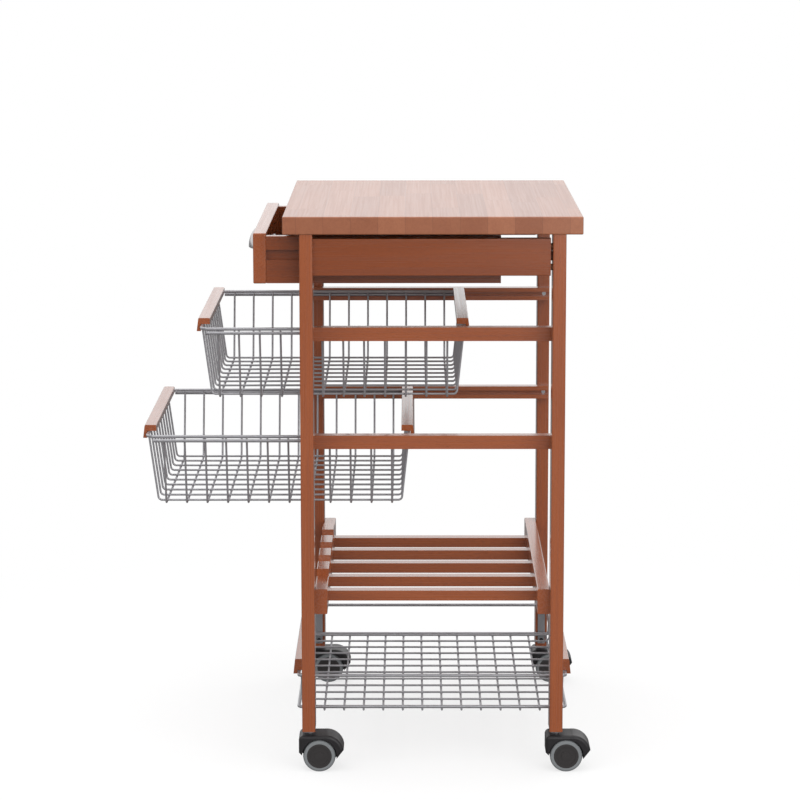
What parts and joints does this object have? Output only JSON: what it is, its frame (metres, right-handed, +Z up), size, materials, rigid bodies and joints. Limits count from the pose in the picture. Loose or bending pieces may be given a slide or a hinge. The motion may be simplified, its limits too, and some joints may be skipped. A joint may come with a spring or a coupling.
{
  "type": "kitchen cart",
  "caption": "Wooden kitchen cart on casters with a drawer, sliding wire baskets, a bottle rack and a low wire basket.",
  "frame": {"origin": "on the floor, midway between the four legs", "axes": "+Z up, -Y towards the front with the drawer's pull, +X to the right side as seen by someone who faces the drawer's front, which is the pictured side"},
  "size_m": [0.55, 0.6905, 0.86],
  "materials": {
    "worktop_wood": "reddish stained beech staves under glossy lacquer",
    "stained_wood": "reddish stained beech under glossy lacquer",
    "dowel_wood": "raw fluted beech",
    "basket_wire": "satin silver coated wire",
    "plated_steel": "zinc plated",
    "bolt_steel": "blackened",
    "pull_metal": "satin nickel plated",
    "caster_plastic": "black moulded plastic",
    "hub_plastic": "black moulded plastic",
    "tyre_rubber": "smooth grey rubber"
  },
  "bodies": {
    "frame": {"worktop": "worktop_wood", "leg_front_right": "stained_wood", "leg_front_left": "stained_wood", "leg_rear_right": "stained_wood", "leg_rear_left": "stained_wood", "frame_dowels": "dowel_wood", "rail_screws": "plated_steel", "apron_right": "stained_wood", "apron_left": "stained_wood", "upper_rail_right": "stained_wood", "upper_rail_left": "stained_wood", "lower_rail_right": "stained_wood", "lower_rail_left": "stained_wood", "drawer_runner_right": "stained_wood", "drawer_runner_left": "stained_wood", "rack_front_bar": "stained_wood", "rack_rear_bar": "stained_wood", "rack_slats": "stained_wood", "hangers": "plated_steel", "hanger_bolts": "bolt_steel", "bottom_basket_rim": "basket_wire", "bottom_basket_cross_wires": "basket_wire", "bottom_basket_long_wires": "basket_wire", "bottom_basket_front_bar": "stained_wood", "bottom_basket_rear_bar": "stained_wood", "caster_stems": "plated_steel"},
    "drawer": {"drawer_front": "stained_wood", "drawer_pull": "pull_metal", "drawer_side_right": "stained_wood", "drawer_side_left": "stained_wood", "drawer_back": "stained_wood", "drawer_bottom": "stained_wood", "pull_screws": "plated_steel"},
    "upper_basket": {"upper_basket_rim": "basket_wire", "upper_basket_cross_wires": "basket_wire", "upper_basket_long_wires": "basket_wire", "upper_basket_front_bar": "stained_wood", "upper_basket_rear_bar": "stained_wood"},
    "middle_basket": {"middle_basket_rim": "basket_wire", "middle_basket_cross_wires": "basket_wire", "middle_basket_long_wires": "basket_wire", "middle_basket_front_bar": "stained_wood", "middle_basket_rear_bar": "stained_wood"},
    "caster_front_right": {"caster_hood_front_right": "caster_plastic"},
    "wheels_front_right": {"caster_axle_front_right": "plated_steel", "caster_hubs_front_right": "hub_plastic", "caster_tyres_front_right": "tyre_rubber"},
    "caster_front_left": {"caster_hood_front_left": "caster_plastic"},
    "wheels_front_left": {"caster_axle_front_left": "plated_steel", "caster_hubs_front_left": "hub_plastic", "caster_tyres_front_left": "tyre_rubber"},
    "caster_rear_right": {"caster_hood_rear_right": "caster_plastic"},
    "wheels_rear_right": {"caster_axle_rear_right": "plated_steel", "caster_hubs_rear_right": "hub_plastic", "caster_tyres_rear_right": "tyre_rubber"},
    "caster_rear_left": {"caster_hood_rear_left": "caster_plastic"},
    "wheels_rear_left": {"caster_axle_rear_left": "plated_steel", "caster_hubs_rear_left": "hub_plastic", "caster_tyres_rear_left": "tyre_rubber"}
  },
  "joints": [
    {"name": "drawer_slide", "type": "slide", "parent": "frame", "child": "drawer", "axis": [0, -1, 0], "range_m": [-0.052, 0.198]},
    {"name": "upper_basket_slide", "type": "slide", "parent": "frame", "child": "upper_basket", "axis": [0, -1, 0], "range_m": [-0.151, 0.15]},
    {"name": "middle_basket_slide", "type": "slide", "parent": "frame", "child": "middle_basket", "axis": [0, -1, 0], "range_m": [-0.236, 0.065]},
    {"name": "caster_swivel_front_right", "type": "hinge", "parent": "frame", "child": "caster_front_right", "pos_m": [0.2505, -0.19, 0.06], "axis": [0, 0, 1], "continuous": true},
    {"name": "wheel_spin_front_right", "type": "hinge", "parent": "caster_front_right", "child": "wheels_front_right", "pos_m": [0.2505, -0.174, 0.025], "axis": [1, 0, 0], "continuous": true},
    {"name": "caster_swivel_front_left", "type": "hinge", "parent": "frame", "child": "caster_front_left", "pos_m": [-0.2505, -0.19, 0.06], "axis": [0, 0, 1], "continuous": true},
    {"name": "wheel_spin_front_left", "type": "hinge", "parent": "caster_front_left", "child": "wheels_front_left", "pos_m": [-0.2505, -0.174, 0.025], "axis": [1, 0, 0], "continuous": true},
    {"name": "caster_swivel_rear_right", "type": "hinge", "parent": "frame", "child": "caster_rear_right", "pos_m": [0.2505, 0.19, 0.06], "axis": [0, 0, 1], "continuous": true},
    {"name": "wheel_spin_rear_right", "type": "hinge", "parent": "caster_rear_right", "child": "wheels_rear_right", "pos_m": [0.2505, 0.206, 0.025], "axis": [1, 0, 0], "continuous": true},
    {"name": "caster_swivel_rear_left", "type": "hinge", "parent": "frame", "child": "caster_rear_left", "pos_m": [-0.2505, 0.19, 0.06], "axis": [0, 0, 1], "continuous": true},
    {"name": "wheel_spin_rear_left", "type": "hinge", "parent": "caster_rear_left", "child": "wheels_rear_left", "pos_m": [-0.2505, 0.206, 0.025], "axis": [1, 0, 0], "continuous": true}
  ]
}
